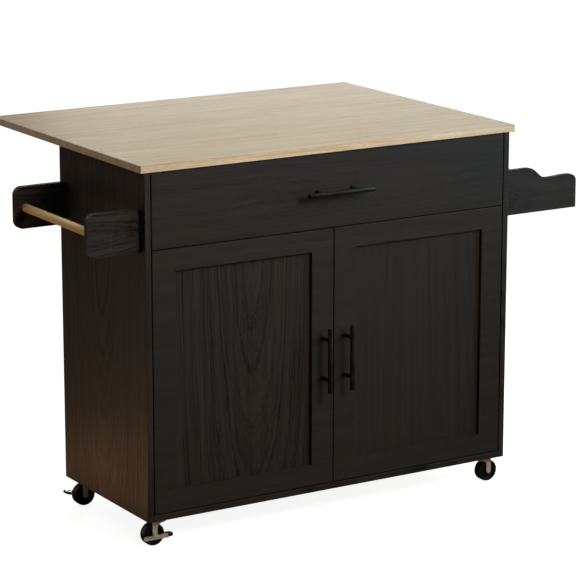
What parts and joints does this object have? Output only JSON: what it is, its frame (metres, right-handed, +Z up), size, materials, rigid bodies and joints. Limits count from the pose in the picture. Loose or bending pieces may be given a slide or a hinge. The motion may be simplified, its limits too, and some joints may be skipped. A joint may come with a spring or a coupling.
{
  "type": "drop leaf kitchen island",
  "caption": "Rolling kitchen island with a hinged drop leaf, a wide drawer over a two-door cabinet, a towel bar on one side and an open spice rack on the other.",
  "frame": {"origin": "on the floor under the middle of the outline, with the leaf raised and the doors and drawer shut", "axes": "X runs to the right along the front, Y runs from the front to the back, Z is up"},
  "size_m": [1.354, 0.798, 0.9],
  "materials": {
    "black_wood": "black stain with a fine open grain, satin",
    "oak_top": "pale oak, satin",
    "birch_bar": "clear varnish",
    "drawer_board": "grey film, matt",
    "black_metal": "dark bronze black, semi-gloss",
    "zinc_steel": "bright zinc",
    "black_wheel": "smooth black"
  },
  "bodies": {
    "cabinet": {"side_panel_left": "black_wood", "side_panel_right": "black_wood", "bottom_panel": "black_wood", "back_panel": "black_wood", "divider_rail": "black_wood", "top_rail_front": "black_wood", "shelf": "black_wood", "tabletop_main": "oak_top", "towel_bracket_front": "black_wood", "towel_bracket_rear": "black_wood", "towel_bar": "birch_bar", "spice_end_front": "black_wood", "spice_end_rear": "black_wood", "spice_shelf": "black_wood", "spice_rail": "black_wood", "drawer_slide_outer_left": "zinc_steel", "drawer_slide_outer_right": "zinc_steel", "hinge_arm_left_lower": "zinc_steel", "hinge_arm_left_upper": "zinc_steel", "hinge_arm_right_lower": "zinc_steel", "hinge_arm_right_upper": "zinc_steel", "leaf_wall_arm_left": "black_metal", "leaf_wall_arm_right": "black_metal", "caster_plate_front_left": "zinc_steel", "caster_plate_rear_left": "zinc_steel", "caster_plate_front_right": "zinc_steel", "caster_plate_rear_right": "zinc_steel"},
    "drawer": {"drawer_front": "black_wood", "drawer_side_left": "drawer_board", "drawer_side_right": "drawer_board", "drawer_back": "drawer_board", "drawer_bottom": "drawer_board", "drawer_handle": "black_metal", "drawer_slide_inner_left": "zinc_steel", "drawer_slide_inner_right": "zinc_steel"},
    "door_left": {"door_frame_left": "black_wood", "door_panel_left": "black_wood", "door_handle_left": "black_metal", "hinge_cup_left_lower": "zinc_steel", "hinge_cup_left_upper": "zinc_steel"},
    "door_right": {"door_frame_right": "black_wood", "door_panel_right": "black_wood", "door_handle_right": "black_metal", "hinge_cup_right_lower": "zinc_steel", "hinge_cup_right_upper": "zinc_steel"},
    "leaf": {"drop_leaf": "oak_top", "leaf_arm_left": "black_metal", "leaf_arm_right": "black_metal"},
    "strut_left": {"leaf_strut_left": "black_metal"},
    "strut_right": {"leaf_strut_right": "black_metal"},
    "swivel_front_left": {"caster_fork_front_left": "zinc_steel"},
    "swivel_rear_left": {"caster_fork_rear_left": "zinc_steel"},
    "swivel_front_right": {"caster_fork_front_right": "zinc_steel"},
    "swivel_rear_right": {"caster_fork_rear_right": "zinc_steel"},
    "wheel_front_left": {"caster_wheel_front_left": "black_wheel"},
    "wheel_rear_left": {"caster_wheel_rear_left": "black_wheel"},
    "wheel_front_right": {"caster_wheel_front_right": "black_wheel"},
    "wheel_rear_right": {"caster_wheel_rear_right": "black_wheel"},
    "brake_front_left": {"brake_lever_front_left": "zinc_steel"},
    "brake_rear_left": {"brake_lever_rear_left": "zinc_steel"}
  },
  "joints": [
    {"name": "drawer_slide", "type": "slide", "parent": "cabinet", "child": "drawer", "axis": [0, -1, 0], "range_m": [0, 0.26]},
    {"name": "door_left_hinge", "type": "hinge", "parent": "cabinet", "child": "door_left", "pos_m": [-0.5195, -0.358, 0.39275], "axis": [0, 0, -1], "range_deg": [0, 110]},
    {"name": "door_right_hinge", "type": "hinge", "parent": "cabinet", "child": "door_right", "pos_m": [0.4335, -0.358, 0.39275], "axis": [0, 0, 1], "range_deg": [0, 110]},
    {"name": "leaf_hinge", "type": "hinge", "parent": "cabinet", "child": "leaf", "pos_m": [-0.043, 0.072, 0.873], "axis": [-1, 0, 0], "range_deg": [0, 90]},
    {"name": "strut_left_pivot", "type": "hinge", "parent": "leaf", "child": "strut_left", "pos_m": [-0.293, 0.20206, 0.873], "axis": [1, 0, 0], "range_deg": [0, 135]},
    {"name": "strut_right_pivot", "type": "hinge", "parent": "leaf", "child": "strut_right", "pos_m": [0.207, 0.20206, 0.873], "axis": [1, 0, 0], "range_deg": [0, 135]},
    {"name": "swivel_front_left_turn", "type": "hinge", "parent": "cabinet", "child": "swivel_front_left", "pos_m": [-0.503, -0.322, 0.06], "axis": [0, 0, 1], "continuous": true},
    {"name": "swivel_rear_left_turn", "type": "hinge", "parent": "cabinet", "child": "swivel_rear_left", "pos_m": [-0.503, 0.026, 0.06], "axis": [0, 0, 1], "continuous": true},
    {"name": "swivel_front_right_turn", "type": "hinge", "parent": "cabinet", "child": "swivel_front_right", "pos_m": [0.417, -0.322, 0.06], "axis": [0, 0, 1], "continuous": true},
    {"name": "swivel_rear_right_turn", "type": "hinge", "parent": "cabinet", "child": "swivel_rear_right", "pos_m": [0.417, 0.026, 0.06], "axis": [0, 0, 1], "continuous": true},
    {"name": "wheel_front_left_roll", "type": "hinge", "parent": "swivel_front_left", "child": "wheel_front_left", "pos_m": [-0.515, -0.322, 0.027], "axis": [0, 1, 0], "continuous": true},
    {"name": "wheel_rear_left_roll", "type": "hinge", "parent": "swivel_rear_left", "child": "wheel_rear_left", "pos_m": [-0.515, 0.026, 0.027], "axis": [0, 1, 0], "continuous": true},
    {"name": "wheel_front_right_roll", "type": "hinge", "parent": "swivel_front_right", "child": "wheel_front_right", "pos_m": [0.429, -0.322, 0.027], "axis": [0, 1, 0], "continuous": true},
    {"name": "wheel_rear_right_roll", "type": "hinge", "parent": "swivel_rear_right", "child": "wheel_rear_right", "pos_m": [0.429, 0.026, 0.027], "axis": [0, 1, 0], "continuous": true},
    {"name": "brake_front_left_press", "type": "hinge", "parent": "swivel_front_left", "child": "brake_front_left", "pos_m": [-0.515, -0.322, 0.027], "axis": [0, 1, 0], "range_deg": [-20, 0]},
    {"name": "brake_rear_left_press", "type": "hinge", "parent": "swivel_rear_left", "child": "brake_rear_left", "pos_m": [-0.515, 0.026, 0.027], "axis": [0, -1, 0], "range_deg": [0, 20]}
  ],
  "couplings": [
    {"joint": "strut_left_pivot", "follows": "leaf_hinge", "ratio": 1.5},
    {"joint": "strut_right_pivot", "follows": "leaf_hinge", "ratio": 1.5}
  ]
}
